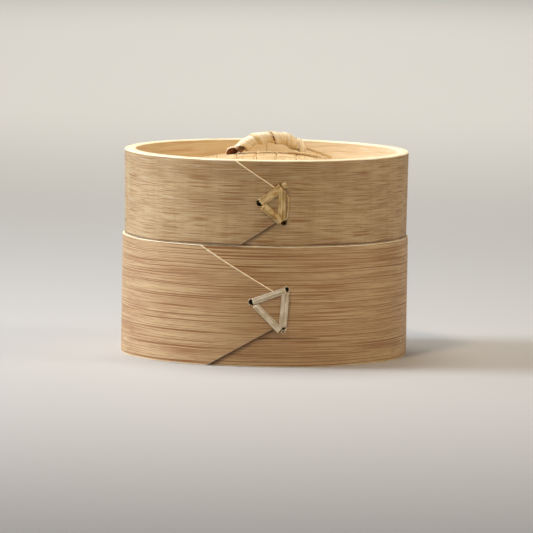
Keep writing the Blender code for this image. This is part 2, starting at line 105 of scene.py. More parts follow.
# Lacing holes: arc length from the front, and height
HOLE_RADIUS = 1.8 * MM
LID_HOLES = ((-3.1 * MM, LOWER_HIGH.z - 2.5 * MM), (7.9 * MM, UPPER_LOW.z + 2.5 * MM),
             (9.5 * MM, LOWER_HIGH.z - 12.3 * MM))
BASKET_HOLES = ((-6.7 * MM, 33.8 * MM), (11.1 * MM, 40.3 * MM), (9.3 * MM, 20.3 * MM))
LACE_WIDTH = 3.2 * MM
LACE_THICKNESS = 0.6 * MM
LACE_BEND = 0.9 * MM        # radius of its bend into a hole
LACE_BOW = 0.12 * MM        # how far it stands off the lap halfway
LACE_TIE = 4.5 * MM         # length of its tie inside the wall
LID_PLACE = 2.0             # moves the lid skin's grain, so that it doesn't match the basket's

# Painted shade, in dark brown: full until the first distance from an edge, gone by the second
PAINTED_SHADE_COLOUR = "#552A0A"
# painted shadow under a lap's lower cut edge
EDGE_PAINTED_SHADOW = (0.2 * MM, 2.4 * MM)
# painted shade along the lid's foot, the dark line of its joint with the basket
FOOT_PAINTED_SHADE = (0.3 * MM, 1.3 * MM)
PAINTED_SHADOW_TAIL = 2 * MM         # an edge's painted shadow fades over this length before the lap's point

# Handle
HANDLE_TURN = math.radians(12.0)
HANDLE_SHIFT = 1.9 * MM
HANDLE_HALF_SPAN = 18.5 * MM
HANDLE_ARCH = 8.0 * MM
HANDLE_POWER = 2.5
WRAP_RADIUS = 3.5 * MM
WRAP_STRIP = 0.42 * MM
WRAP_WIDTH = 9.4 * MM
WRAP_PITCH = 8.2 * MM
WRAP_SHARE = 0.84           # share of each half of the arch that is wound
WRAP_SEAM = -1.5 * MM       # where an edge of the strip crosses the top of the handle
CORE_WIDTH = 4.4 * MM
CORE_THICKNESS = 1.9 * MM
CORE_GAP = 0.05 * MM        # half the gap between its two splints
CORE_START = 0.97
CORE_LATER = 0.06           # the front splint starts this share later
RIGHT_FOOT = 0.86           # share of the right half at which wrap and core end
TAIL_WIDTH = 2.6 * MM
TAIL_THICKNESS = 1.2 * MM
LEVEL_START = 0.7           # past this share of the left half the strip lies down
LEVEL_SPAN = 0.3
BIND_SHARE = 0.91
BIND_WIDTH = 3.5 * MM
BIND_THICKNESS = 0.5 * MM
HANDLE_BASE = WRAP_TOP - WRAP_RADIUS - HANDLE_ARCH
CROWN_TOP = WRAP_TOP - 11.3 * MM
WEAVE_RISE = (SPLINT_THICKNESS + GAP) / 2
DOME_MIDDLE = CROWN_TOP - WEAVE_RISE - SPLINT_THICKNESS / 2

# How finely the pieces are drawn
HOOP_STEP = math.radians(1.0)
POINT_STEPS = 48            # rings along a lap's pointed end
ROUNDING = 3                # facets on each eased corner of a strip
HOLE_FACETS = 40
PEG_FACETS = 20
LACE_FACETS = 24
BEND_STEPS = 6
ARCH_STEPS = 40
WRAP_STEPS = 28             # rings in one turn of the wrap


# ---- Materials ----

def linear(code):
    """An sRGB hex colour as linear values."""
    parts = [int(code[i:i + 2], 16) / 255 for i in (1, 3, 5)]
    return (*[p / 12.92 if p <= 0.04045 else ((p + 0.055) / 1.055) ** 2.4 for p in parts], 1.0)


def add(tree, kind, feeds=None, **settings):
    """Add a node: settings are its own options; feeds are its sockets' values, or what feeds them."""
    made = tree.nodes.new(kind)
    for name, value in settings.items():
        setattr(made, name, value)
    for socket, value in (feeds or {}).items():
        if isinstance(value, str):
            value = linear(value)
        if isinstance(value, bpy.types.Node):
            value = next(out for out in value.outputs if out.enabled)
        if isinstance(value, bpy.types.NodeSocket):
            tree.links.new(value, made.inputs[socket])
        else:
            made.inputs[socket].default_value = value
    return made


def bamboo(name, sway, sway_length):
    """A new material whose fibres follow the strip, swaying a little as real ones do.

    Both sizes are in millimetres.
    """
    material = bpy.data.materials.new(name)
    material.use_nodes = True
    tree = material.node_tree
    grain = add(tree, "ShaderNodeUVMap", uv_map="grain")
    waves = fibres(tree, grain, sway_length, sway_length / 4, 1.0, 3.1)
    drift = add(tree, "ShaderNodeMapRange", {"Value": waves, "From Min": 0.3, "From Max": 0.7,
                                             "To Min": -sway * MM, "To Max": sway * MM})
    across = add(tree, "ShaderNodeCombineXYZ", {"Y": drift})
    swayed = add(tree, "ShaderNodeVectorMath", {0: grain, 1: across}, operation="ADD")
    return material, tree, swayed


def fibres(tree, grain, length, width, detail, place):
    """Noise drawn out along the grain: one fibre is about this long and wide, in millimetres."""
    scale = (1 / (length * MM), 1 / (width * MM), 1.0)
    drawn = add(tree, "ShaderNodeMapping", {"Vector": grain, "Location": (place, place, 0.0),
                                            "Scale": scale})
    return add(tree, "ShaderNodeTexNoise", {"Vector": drawn, "Scale": 1.0, "Detail": detail,
                                            "Roughness": 0.55}, noise_dimensions="2D")


def lay(tree, under, over, pattern, start, full, strength=1.0):
    """Lay one colour over another where a pattern goes from start to full."""
    share = add(tree, "ShaderNodeMapRange", {"Value": pattern, "From Min": start, "From Max": full,
                                             "To Max": strength}, interpolation_type="SMOOTHSTEP")
    return add(tree, "ShaderNodeMix", {0: share, 6: under, 7: over}, data_type="RGBA")


def painted_edge_shadow(tree, grain, start, end):
    """Painted shadow along a cut edge that lies on the strip, from start to end: how dark the strip is drawn
    beside it.
    """
    run = (Vector(end) - Vector(start)).normalized()
    length = (Vector(end) - Vector(start)).length
    past = add(tree, "ShaderNodeVectorMath", {0: grain, 1: (*start, 0.0)}, operation="SUBTRACT")
    along = add(tree, "ShaderNodeVectorMath", {0: past, 1: (run.x, run.y, 0.0)}, operation="DOT_PRODUCT")
    below = add(tree, "ShaderNodeVectorMath", {0: past, 1: (run.y, -run.x, 0.0)}, operation="DOT_PRODUCT")
    away = add(tree, "ShaderNodeMath", {0: below.outputs["Value"]}, operation="ABSOLUTE")
    near = add(tree, "ShaderNodeMapRange", {"Value": away, "From Min": EDGE_PAINTED_SHADOW[0],
                                            "From Max": EDGE_PAINTED_SHADOW[1], "To Min": 1.0, "To Max": 0.0})
    within = add(tree, "ShaderNodeMapRange", {"Value": along.outputs["Value"],
                                              "From Min": length - PAINTED_SHADOW_TAIL, "From Max": length,
                                              "To Min": 1.0, "To Max": 0.0})
    return add(tree, "ShaderNodeMath", {0: near, 1: within}, operation="MULTIPLY")


def finish_surface(tree, colour, relief, depth, gloss, dull):
    """Give a bamboo its colour, its fibres' relief and a sheen that runs from gloss to dull."""
    shader = tree.nodes["Principled BSDF"]
    sheen = add(tree, "ShaderNodeMapRange", {"Value": relief, "From Min": 0.3, "From Max": 0.7,
                                             "To Min": gloss, "To Max": dull})
    bump = add(tree, "ShaderNodeBump", {"Height": relief, "Distance": depth, "Strength": 0.7})
    tree.links.new(next(out for out in colour.outputs if out.enabled), shader.inputs["Base Color"])
    tree.links.new(sheen.outputs[0], shader.inputs["Roughness"])
    tree.links.new(bump.outputs[0], shader.inputs["Normal"])
    shader.inputs["IOR"].default_value = 1.5


def basket_skin():
    """Planed, steam-bent bamboo: long orange-brown fibre lines on a warm tan.

    A real line is 0.2 to 0.4 mm wide; it is drawn up to 0.6 mm wide so that it shows.
    """
    material, tree, grain = bamboo("planed_bamboo_basket", 0.35, 70)
    patches = fibres(tree, grain, 70, 9, 2.0, 2.3)
    mottle = fibres(tree, grain, 7, 0.6, 2.0, 9.4)
    pale = fibres(tree, grain, 30, 0.5, 0.0, 5.2)
    lines = fibres(tree, grain, 50, 0.42, 0.0, 1.9)
    strong = fibres(tree, grain, 110, 0.6, 0.0, 7.7)
    edge = (BASKET_LAP[2], BASKET_LAP[3] - BASKET_LAP[4])
    # painted shadow: the wall is darkened under the lap's lower cut edge, where its shadow falls
    painted_shadow = painted_edge_shadow(tree, grain, (BASKET_LAP[1], 0.0), edge)
    colour = lay(tree, "#CAA97C", "#BC966B", patches, 0.35, 0.65)
    colour = lay(tree, colour, "#9C7343", mottle, 0.42, 0.7, 0.35)
    colour = lay(tree, colour, "#D4B686", pale, 0.54, 0.68, 0.6)
    colour = lay(tree, colour, "#97622D", lines, 0.58, 0.68, 0.7)
    colour = lay(tree, colour, "#8A5422", strong, 0.66, 0.74, 0.85)
    # lay the painted shadow under the lap's lower cut edge
    colour = lay(tree, colour, PAINTED_SHADE_COLOUR, painted_shadow, 0.0, 1.0, 0.8)
    finish_surface(tree, colour, mottle, 0.05 * MM, 0.40, 0.56)
    return material


def lid_skin():
    """The same strip, drier: sparse fibre strokes, 18 mm long, on a greyer tan.

    Faint bands cross it where the roller pressed. Strokes are drawn 0.4 mm wide, twice the real.
    """
    material, tree, grain = bamboo("planed_bamboo_lid", 0.3, 30)
    patches = fibres(tree, grain, 40, 12, 2.0, 4.5)
    bands = fibres(tree, grain, 3, 50, 2.0, 3.6)
    mottle = fibres(tree, grain, 5, 0.6, 2.0, 8.3)
    pale = fibres(tree, grain, 18, 0.5, 0.0, 6.6)
    strokes = fibres(tree, grain, 18, 0.42, 0.0, 1.4)
    place = Vector((LID_PLACE, LID_PLACE / 3))
    foot = place + Vector((LID_LAP[1], LID_LOW.z))
    # painted shadow: the wall is darkened under the lap's lower cut edge, where its shadow falls
    painted_shadow = painted_edge_shadow(tree, grain, foot, place + Vector((LID_LAP[2], LID_LAP[3] - LID_LAP[4])))
    colour = lay(tree, "#C4A678", "#B59468", patches, 0.35, 0.65)
    colour = lay(tree, colour, "#A18159", bands, 0.45, 0.7, 0.22)
    colour = lay(tree, colour, "#98754C", mottle, 0.46, 0.72, 0.35)
    colour = lay(tree, colour, "#CDB690", pale, 0.56, 0.7, 0.6)
    # painted shade along the lid's foot, the dark line where it sits on the basket
    height = add(tree, "ShaderNodeSeparateXYZ", {"Vector": grain}).outputs["Y"]
    painted_joint_shade = add(tree, "ShaderNodeMapRange", {"Value": height, "From Min": foot.y + FOOT_PAINTED_SHADE[0],
                                            "From Max": foot.y + FOOT_PAINTED_SHADE[1],
                                            "To Min": 1.0, "To Max": 0.0})
    colour = lay(tree, colour, "#936230", strokes, 0.60, 0.70, 0.75)
    # lay the painted shadow under the lap's edge and the painted shade along the foot
    colour = lay(tree, colour, PAINTED_SHADE_COLOUR, painted_shadow, 0.0, 1.0, 0.75)
    colour = lay(tree, colour, PAINTED_SHADE_COLOUR, painted_joint_shade, 0.0, 1.0, 0.75)
    finish_surface(tree, colour, mottle, 0.05 * MM, 0.44, 0.58)
    return material


def cut_edge():
    """Edges of the strips, cut and rubbed: the pale wood under the skin, with fine fibre ends."""
    material, tree, grain = bamboo("cut_bamboo_edge", 0.2, 20)
    lines = fibres(tree, grain, 14, 0.5, 3.0, 2.2)
    stains = fibres(tree, grain, 30, 2, 2.0, 7.7)
    colour = lay(tree, "#FCF1D4", "#EDD9A9", lines, 0.4, 0.7)
    colour = lay(tree, colour, "#D0A468", stains, 0.58, 0.8, 0.4)
    finish_surface(tree, colour, lines, 0.06 * MM, 0.5, 0.62)
    return material


def scraped_hoop():
    """Pith side of the hoops, split and scraped: yellow-tan, long soft fibres, little gloss."""
    material, tree, grain = bamboo("scraped_bamboo_hoop", 0.5, 40)
    patches = fibres(tree, grain, 60, 6, 2.0, 8.1)
    pale = fibres(tree, grain, 20, 0.6, 3.0, 1.2)
    bundles = fibres(tree, grain, 38, 1.0, 3.0, 3.8)
    colour = lay(tree, "#E5CFA6", "#D9BD90", patches, 0.35, 0.65)
    colour = lay(tree, colour, "#EBDAB8", pale, 0.5, 0.7, 0.8)
    colour = lay(tree, colour, "#BE8748", bundles, 0.56, 0.72, 0.4)
    finish_surface(tree, colour, pale, 0.12 * MM, 0.5, 0.65)
    return material


def split_splint():
    """Split bamboo of the panel and the grate: straight fine fibres under a faint polish."""
    material, tree, grain = bamboo("split_bamboo_splint", 0.2, 40)
    patches = fibres(tree, grain, 30, 9, 2.0, 6.1)
    ribs = fibres(tree, grain, 60, 0.7, 2.0, 4.4)
    fine = fibres(tree, grain, 18, 0.35, 2.0, 0.9)
    colour = lay(tree, "#E2CA9E", "#D2B280", patches, 0.3, 0.7)
    colour = lay(tree, colour, "#C0904F", ribs, 0.5, 0.66, 0.6)
    colour = lay(tree, colour, "#A9743A", fine, 0.6, 0.78, 0.35)
    finish_surface(tree, colour, ribs, 0.16 * MM, 0.40, 0.55)
    return material


def shaved_wrap():
    """Shaved bamboo wound on wet: waxy pale yellow, fine ribs, brown skin left on one edge.

    The skin was shaved off along the rest, so it shows only where the strip crosses mid-handle.
    """
    material, tree, grain = bamboo("shaved_bamboo_wrap", 0.1, 20)
    parts = add(tree, "ShaderNodeSeparateXYZ", {"Vector": grain})
    ribs = fibres(tree, grain, 60, 0.8, 0.0, 2.7)
    blots = fibres(tree, grain, 0.9, 9, 0.0, 3.9)
    edge = add(tree, "ShaderNodeMapRange", {"Value": parts.outputs["Y"], "From Min": 0.9 * MM,
                                            "From Max": 1.1 * MM, "To Min": 1.0, "To Max": 0.0})
    middle = add(tree, "ShaderNodeMath", {0: parts.outputs["X"], 1: 10 * MM}, operation="SUBTRACT")
    off = add(tree, "ShaderNodeMath", {0: middle}, operation="ABSOLUTE")
    stretch = add(tree, "ShaderNodeMapRange", {"Value": off, "From Min": 8 * MM, "From Max": 9 * MM,
                                               "To Min": 1.0, "To Max": 0.0})
    skin = add(tree, "ShaderNodeMath", {0: edge, 1: stretch}, operation="MULTIPLY")
    spots = add(tree, "ShaderNodeMath", {0: skin, 1: blots}, operation="MULTIPLY")
    colour = lay(tree, "#F8EBD0", "#EBD3A4", ribs, 0.42, 0.62)
    colour = lay(tree, colour, "#6E3A16", spots, 0.36, 0.46, 0.9)
    finish_surface(tree, colour, ribs, 0.25 * MM, 0.36, 0.5)
    return material


def core_splint():
    """Unshaved splint inside the handle: tan sides and reddish-brown ends where it was heated."""
    material, tree, grain = bamboo("heated_bamboo_core", 0.15, 20)
    along = add(tree, "ShaderNodeSeparateXYZ", {"Vector": grain}).outputs["X"]
    ribs = fibres(tree, grain, 24, 0.6, 3.0, 5.7)
    burnt = add(tree, "ShaderNodeMapRange", {"Value": along, "From Min": 1 * MM, "From Max": 7 * MM,
                                             "To Min": 1.0, "To Max": 0.0})
    colour = lay(tree, "#EFDCB0", "#C99A5C", ribs, 0.46, 0.7)
    colour = lay(tree, colour, "#6B3215", burnt, 0.1, 0.9, 0.85)
    finish_surface(tree, colour, ribs, 0.2 * MM, 0.45, 0.6)
    return material


def lacing_strip(name, pale, deep, dark):
    """Thin peeled strip, worn by handling: coarse fibres, 0.4 mm apart, lie along it."""
    material, tree, grain = bamboo(name, 0.1, 10)
    patches = fibres(tree, grain, 6, 2, 2.0, 8.8)
    ribs = fibres(tree, grain, 16, 0.5, 3.0, 1.1)
    colour = lay(tree, pale, deep, patches, 0.35, 0.65)
    colour = lay(tree, colour, dark, ribs, 0.48, 0.68, 0.7)
    finish_surface(tree, colour, ribs, 0.25 * MM, 0.38, 0.55)
    return material


def whittled_peg():
    """Whittled pins, darker than the hoops, with blunt fibre ends."""
    material, tree, grain = bamboo("whittled_bamboo_peg", 0.1, 10)
    ribs = fibres(tree, grain, 6, 0.4, 3.0, 3.3)
    colour = lay(tree, "#C79A5C", "#8F5E2C", ribs, 0.4, 0.65)
    finish_surface(tree, colour, ribs, 0.12 * MM, 0.5, 0.65)
    return material


# ---- Mesh work ----

def eased_section(thickness, low, high, eases, rounding=ROUNDING):
    """A strip's section as (depth, height, grain across), corners rounded.

    It goes up the outside, over the top and down the inside; eases are the radii of the outer
    low, outer high, inner high and inner low corners.
    """
    corners = ((0.0, low, 1, 1), (0.0, high, 1, -1), (thickness, high, -1, -1), (thickness, low, -1, 1))
    points = []
    for quarter, (depth, height, inward, upward) in enumerate(corners):
        for step in range(rounding + 1):
            turn = (quarter + step / rounding) * math.pi / 2
            points.append((depth + eases[quarter] * (inward - math.sin(turn)),
                           height + eases[quarter] * (upward - math.cos(turn))))
    lengths = [0.0]
    for first, second in zip(points, points[1:] + points[:1]):
        lengths.append(lengths[-1] + math.dist(first, second))
    start = points[rounding][1] - lengths[rounding]
    return [(*point, start + length) for point, length in zip(points + points[:1], lengths)]


def dressed(outside, edge, inside, rounding=ROUNDING):
    """Which finish each side of an eased section takes, and last the one on its end caps."""
    sides = []
    for flat in (outside, edge, inside, edge):
        sides += [edge] * rounding + [flat]
    return sides + [edge]


def circle(count):
    """Angles all the way round; the first comes again at the end."""
    return [2 * math.pi * i / count for i in range(count + 1)]


def in_scene(name, data):
    """A new object in the scene."""
    made = bpy.data.objects.new(name, data)
    bpy.context.scene.collection.objects.link(made)
    return made


def loft(name, rings, along, finishes, sides, place=0.0):
    """A body through rings of (point, grain across); the first point comes again at the end.

    along is the grain's length at each ring, and place moves the grain so that no two pieces match.
    """
    body = bmesh.new()
    grain = body.loops.layers.uv.new("grain")
    rows = [[body.verts.new(point) for point, _ in ring[:-1]] for ring in rings]
    size = len(rows[0])
    for first in range(len(rows) - 1):
        second = first + 1
        near = along[first]
        far = along[second]
        for i in range(size):
            k = (i + 1) % size
            face = body.faces.new((rows[first][i], rows[second][i], rows[second][k], rows[first][k]))
            face.material_index = sides[i]
            spots = ((near, rings[first][i][1]), (far, rings[second][i][1]),
                     (far, rings[second][i + 1][1]), (near, rings[first][i + 1][1]))
            for loop, spot in zip(face.loops, spots):
                loop[grain].uv = (spot[0] + place, spot[1] + place / 3)
    for cap, ring, length in ((rows[0], rings[0], along[0]), (rows[-1][::-1], rings[-1], along[-1])):
        face = body.faces.new(cap)
        face.material_index = sides[-1]
        for loop in face.loops:
            away = loop.vert.co - ring[0][0]
            loop[grain].uv = (length + place + away.xy.length, ring[0][1] + away.z + place / 3)
    bmesh.ops.recalc_face_normals(body, faces=body.faces)
    mesh = bpy.data.meshes.new(name)
    body.to_mesh(mesh)
    body.free()
    for finish in finishes:
        mesh.materials.append(finish)
    return in_scene(name, mesh)


def discard(pieces):
    for piece in pieces:
        bpy.data.objects.remove(piece)


def drill(piece, tools):
    """Cut the tools' shapes out of a piece."""
    for tool in tools:
        modifier = piece.modifiers.new(tool.name, "BOOLEAN")
        modifier.operation = "DIFFERENCE"
        modifier.object = tool
    bpy.context.view_layer.update()
    seen = piece.evaluated_get(bpy.context.evaluated_depsgraph_get())
    cut = bpy.data.meshes.new_from_object(seen)
    piece.modifiers.clear()
    piece.data = cut


def join(name, parts):
    """Several loose bodies as one piece."""
    whole = bmesh.new()
    for part in parts:
        whole.from_mesh(part.data)
    mesh = bpy.data.meshes.new(name)
    whole.to_mesh(mesh)
    whole.free()
    for finish in parts[0].data.materials:
        mesh.materials.append(finish)
    discard(parts)
    return in_scene(name, mesh)


def seat(piece, body):
    """Shade a finished piece, and put it on its body in place of the CAD node it is named for."""
    piece.data.shade_smooth()
    piece.data.set_sharp_from_angle(angle=math.radians(40))
    shading = piece.modifiers.new("even_faces", "WEIGHTED_NORMAL")
    shading.keep_sharp = True
    node = piece.name.partition(".")[0]
    piece.name = node + "_made"
    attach(piece, body)
    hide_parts(node)


def smooth_step(share):
    share = min(max(share, 0.0), 1.0)
    return share * share * (3 - 2 * share)


def hand(where, size, seed):
    """A slow unevenness left by hand work, up to size either way."""
    return size * noise.noise(Vector((where, seed, 0.5)))


# ---- Hoops ----

def on_wall(radius, angle, height):
    """A point on a round wall; angle 0 is the front, and it grows towards +X."""
    return Vector((radius * math.sin(angle), -radius * math.cos(angle), height))


def basket_wall(height):
    return BASKET_RADIUS


def lid_wall(height):
    return LID_RADIUS + LID_FLARE * (height - LID_LOW.z) / (LID_HIGH.z - LID_LOW.z)


def hoop_ring(wall, angle, lift, thickness, low, high, eases):
    return [(on_wall(wall(height) + lift - depth, angle, height), across)
            for depth, height, across in eased_section(thickness, low, high, eases)]


def plain_hoop(name, wall, inset, thickness, low, high, eases, finishes, place):
    """A bent strip whose ends meet at the back with a fine joint."""
    joint = GAP / 2 / BASKET_RADIUS
    count = round(2 * math.pi / HOOP_STEP)
    angles = [-math.pi + 2 * math.pi * i / count for i in range(count + 1)]
    angles[0] += joint
    angles[-1] -= joint
    rings = [hoop_ring(wall, angle, -inset, thickness, low, high, eases) for angle in angles]
    along = [angle * BASKET_RADIUS for angle in angles]
    return loft(name, rings, along, finishes, dressed(0, 1, 0), place=place)


def lapped_hoop(name, wall, low, high, lap, rubbed, finishes, place):
    """An outer strip that laps over its own start at the front and ends in a blunt point.

    rubbed holds the radii that its bottom and top edges are rubbed to.
    """
    lap_top, lap_bottom, point, middle, rise = lap
    radius = wall((low + high) / 2)
    start = min(lap_top, lap_bottom) / radius - LAP_COVER
    lifted = start + 2 * math.pi - HIDDEN_LIFT
    bend = min(lap_top, lap_bottom) / radius + 2 * math.pi
    count = round((bend - start) / HOOP_STEP)
    angles = [start + (bend - start) * i / count for i in range(count)]
    tip = point / radius + 2 * math.pi
    angles += [bend + (tip - bend) * i / POINT_STEPS for i in range(POINT_STEPS + 1)]
    rings = []
    for angle in angles:
        lift = LAP_STEP * smooth_step((angle - lifted + LAP_BLEND) / LAP_BLEND)
        arc = (angle - 2 * math.pi) * radius
        cut_low = max(0.0, (arc - lap_bottom) / (point - lap_bottom)) * (middle - rise - low)
        cut_high = max(0.0, (arc - lap_top) / (point - lap_top)) * (high - middle - rise)
        corner = rubbed[0] if cut_low == 0 else CUT_CORNER
        crest = rubbed[1] if cut_high == 0 else RUBBED_EDGE
        rings.append(hoop_ring(wall, angle, lift, OUTER_STRIP, low + cut_low, high - cut_high,
                               (corner, crest, INNER_CORNER, INNER_CORNER)))
    along = [angle * radius for angle in angles]
    return loft(name, rings, along, finishes, dressed(0, 1, 2), place=place)


def hole_tools(wall, holes):
    """Round tools that cut the lacing holes straight through the wall."""
    tools = []
    clear = 4 * MM          # how far they stand out of the wall
    upright = Vector((0, 0, 1))
    for number, (arc, height) in enumerate(holes):
        angle = arc / wall(height)
        outward = on_wall(1.0, angle, 0.0)
        across = Vector((-outward.y, outward.x, 0.0))
        rings = []
        for depth in (-BORE_DEPTH, clear):
            middle = on_wall(wall(height) + depth, angle, height)
            rings.append([(middle + HOLE_RADIUS * (math.cos(t) * across + math.sin(t) * upright),
                           t * HOLE_RADIUS) for t in circle(HOLE_FACETS)])
        sides = [1] * (HOLE_FACETS + 1)
        tools.append(loft(f"lace_hole_{number}", rings, (0.0, BORE_DEPTH), (), sides))
    return tools


def crack_tool():
    """A fine drying crack that runs out from under the lap, low on the basket."""
    height = 14.8 * MM
    start = -9.0 * MM
    end = 30.0 * MM
    bottom = -1.1 * MM      # how deep it goes into the strip
    clear = 0.2 * MM
    widest = 0.32 * MM      # half its width where it starts
    hairline = 0.015 * MM   # and where it ends
    stray = 0.25 * MM
    steps = 40
    section = ((bottom, -1), (clear, -1), (clear, 1), (bottom, 1), (bottom, -1))
    rings = []
    along = []
    for i in range(steps + 1):
        share = i / steps
        arc = start + (end - start) * share
        open_half = widest * (1 - share) ** 0.5 + hairline
        level = height + hand(share * 3, stray, 4.0)
        angle = arc / BASKET_RADIUS
        rings.append([(on_wall(BASKET_RADIUS + out, angle, level + up * open_half), across * MM)
                      for across, (out, up) in enumerate(section)])
        along.append(arc)
    return loft("drying_crack", rings, along, (), [0] * 5)


# ---- Splints ----

def splint(name, offset, width, thickness, radius, height_at, along_x, step, finishes, place, ease):
    """A flat strip across a round opening, its ends cut to the circle of that radius."""
    near = max(0.0, abs(offset) - width / 2)
    far = abs(offset) + width / 2
    tip = math.sqrt(radius ** 2 - (near + width / TIP_PART) ** 2)
    shoulder = math.sqrt(radius ** 2 - far ** 2)
    quarters = 4
    ends = [shoulder + (tip - shoulder) * share / quarters for share in range(quarters + 1)]
    count = max(2, round(2 * shoulder / step))
    stops = sorted({-end for end in ends} | {-shoulder + 2 * shoulder * i / count for i in range(count + 1)}
                   | set(ends[1:]))
    rings = []
    for stop in stops:
        limit = math.sqrt(radius ** 2 - stop ** 2)
        where = stop / WAVER_LENGTH
        low = max(offset - width / 2 + hand(where, SPLINT_WAVER, offset / MM), -limit)
        high = min(offset + width / 2 + hand(where, SPLINT_WAVER, offset / MM + 9), limit)
        ring = []
        for depth, side, across in eased_section(thickness, low, high, (ease,) * 4, 1):
            height = height_at(stop, side) + thickness / 2 - depth
            ring.append((Vector((stop, side, height) if along_x else (side, stop, height)), across))
        rings.append(ring)
    return loft(name, rings, stops, finishes, dressed(0, 0, 0, 1), place=place)


def row(count, step):
    """Evenly spaced places about the middle."""
    return [(i - (count - 1) / 2) * step for i in range(count)]


def dome(along, across):
    return DOME_MIDDLE - DOME_CURVE * (along ** 2 + across ** 2)


def weave_height(index, places, width):
    """Height of one splint of the weave, over and under those at the given places."""
    slack = 0.9 * MM        # the bend starts this far before a crossing's edge

    def height_at(along, across):
        step = places[1] - places[0]
        nearest = min(max(round((along - places[0]) / step), 0), len(places) - 1)
        side = 1 if (index + nearest) % 2 == 0 else -1
        past = abs(along - places[nearest]) - width / 2 + slack
        if 0 < nearest < len(places) - 1 or abs(along) < abs(places[nearest]):
            share = max(past, 0.0) / (step - width + 2 * slack)
            side *= 1 - 2 * smooth_step(share)
        return dome(along, across) + side * WEAVE_RISE
    return height_at


# ---- Handle ----

def arch(share):
    """The handle's centre line in its own plane: distance along, and height.

    Past its left foot the line lies level on the panel.
    """
    fall = min(abs(share), 1.0) if share < 0 else share
    return (HANDLE_HALF_SPAN * share, HANDLE_BASE + HANDLE_ARCH * (1 - fall ** HANDLE_POWER))


def arch_tilt(share):
    """How far the line leans there; the strip lies down flat towards the left foot."""
    rise = HANDLE_ARCH * HANDLE_POWER * abs(share) ** (HANDLE_POWER - 1) / HANDLE_HALF_SPAN
    level = smooth_step((-share - LEVEL_START) / LEVEL_SPAN)
    return math.atan(-math.copysign(rise, share)) * (1 - level)


def handle_point(along, across, height):
    """A point beside the handle's plane, in the part's frame."""
    turned = Matrix.Rotation(HANDLE_TURN, 3, "Z") @ Vector((along, across, 0))
    return Vector((turned.x + HANDLE_SHIFT, turned.y, height))


def around_arch(along, turn, radius):
    """A point at a turn around the arch: 0 is behind it, a quarter turn is on top."""
    share = along / HANDLE_HALF_SPAN
    middle, height = arch(share)
    tilt = arch_tilt(share)
    up = radius * math.sin(turn)
    return handle_point(middle - up * math.sin(tilt), radius * math.cos(turn), height + up * math.cos(tilt))


def wound_strip(finish, inside_skin_and_shade):
    """One strip wound around the core, each turn over the right edge of the last.

    It starts low behind the arch's left end and is cut slanting, so the end is open to the front.
    """
    count = 9               # facets across the strip
    seam = WRAP_SEAM - WRAP_PITCH / 4
    first = -2 * WRAP_STEPS - 2
    last = math.floor((WRAP_SHARE * HANDLE_HALF_SPAN - seam) / WRAP_PITCH * WRAP_STEPS)
    overlap = WRAP_WIDTH - WRAP_PITCH
    settle = 3.5 * MM       # a turn comes down off the last one over this width
    lifted = 0.12 * MM      # and stands this far off it at most
    pressed = 0.02 * MM     # it is pressed this far into the core
    stray = 0.3 * MM        # how far its edge strays from straight
    slant = 0.08            # how far its right end is cut slanting
    furthest = -1.25 * HANDLE_HALF_SPAN
    flare = 3.3 * MM        # how much wider the strip starts, behind
    cut_back = 4.4 * MM     # and how much of that is cut away round to the front
    cut_middle = 1.05       # where it is cut back most, in half turns from its start
    cut_reach = 0.9
    flare_end = 1.4         # where the wider part starts to narrow, in half turns
    flare_fade = 0.5
    pinched = 0.1 * MM      # what is taken off the strip's thickness
    fold = 0.6 * MM         # how much thicker its folded left end is
    fold_start = 0.8
    fold_span = 0.2
    rings = []
    along = []
    for step in range(first, last + 1):
        turn = 2 * math.pi * step / WRAP_STEPS
        left = seam + WRAP_PITCH * step / WRAP_STEPS
        past = (turn + 4 * math.pi) / math.pi
        cut = cut_back * smooth_step(1 - abs(past - cut_middle) / cut_reach)
        widened = (flare - cut) * (1 - smooth_step((past - flare_end) / flare_fade))
        right_end = HANDLE_HALF_SPAN * (RIGHT_FOOT + slant * math.sin(turn))
        low = max(left - widened, furthest)
        high = min(left + WRAP_WIDTH + hand(step / 9, stray, 2.0), right_end)
        outside = []
        for i in range(count + 1):
            side = low + (high - low) * i / count
            over = 1 - smooth_step((side - left - overlap) / settle)
            radius = WRAP_RADIUS - WRAP_STRIP - pressed + over * (WRAP_STRIP + lifted)
            edge = CUT_CORNER if i in (0, count) else 0.0
            outside.append((side, radius - edge, side - left))
        inside = []
        for side, radius, across in reversed(outside):
            doubled = fold * smooth_step((-side / HANDLE_HALF_SPAN - fold_start) / fold_span)
            inside.append((side, radius - WRAP_STRIP + pinched - doubled, 2 * WRAP_WIDTH - across))
        section = outside + inside
        section.append((*section[0][:2], 2 * WRAP_WIDTH + section[0][2]))
        rings.append([(around_arch(side, turn, radius), across) for side, radius, across in section])
        along.append(turn * WRAP_RADIUS)
    # the inner side takes the dark inside finish: the strip's brown side, drawn darker as painted shade of
    # the bore
    sides = [0] * (count + 1) + [1] * count + [0, 0]
    return loft("handle_wrap", rings, along, (finish, inside_skin_and_shade), sides)


def flat_strip(name, path, width, thickness, ease, finish, place=0.0):
    """A strip along a path of (along, across, height) beside the handle, lying on its broad side."""
    spots = [Vector(spot) for spot in path]
    rings = []
    along = [0.0]
    for i, spot in enumerate(spots):
        before = spots[max(i - 1, 0)]
        after = spots[min(i + 1, len(spots) - 1)]
        run = (after - before).normalized()
        side = Vector((0, 0, 1)).cross(run).normalized()
        upward = run.cross(side)
        ring = []
        for depth, across, grain in eased_section(thickness, -width / 2, width / 2, (ease,) * 4, 2):
            point = spot + side * across + upward * (thickness / 2 - depth)
            ring.append((handle_point(*point), grain))
        rings.append(ring)
        along.append(along[-1] + (after - spot).length)
    return loft(name, rings, along[:-1], (finish,), dressed(0, 0, 0, 2), place=place)


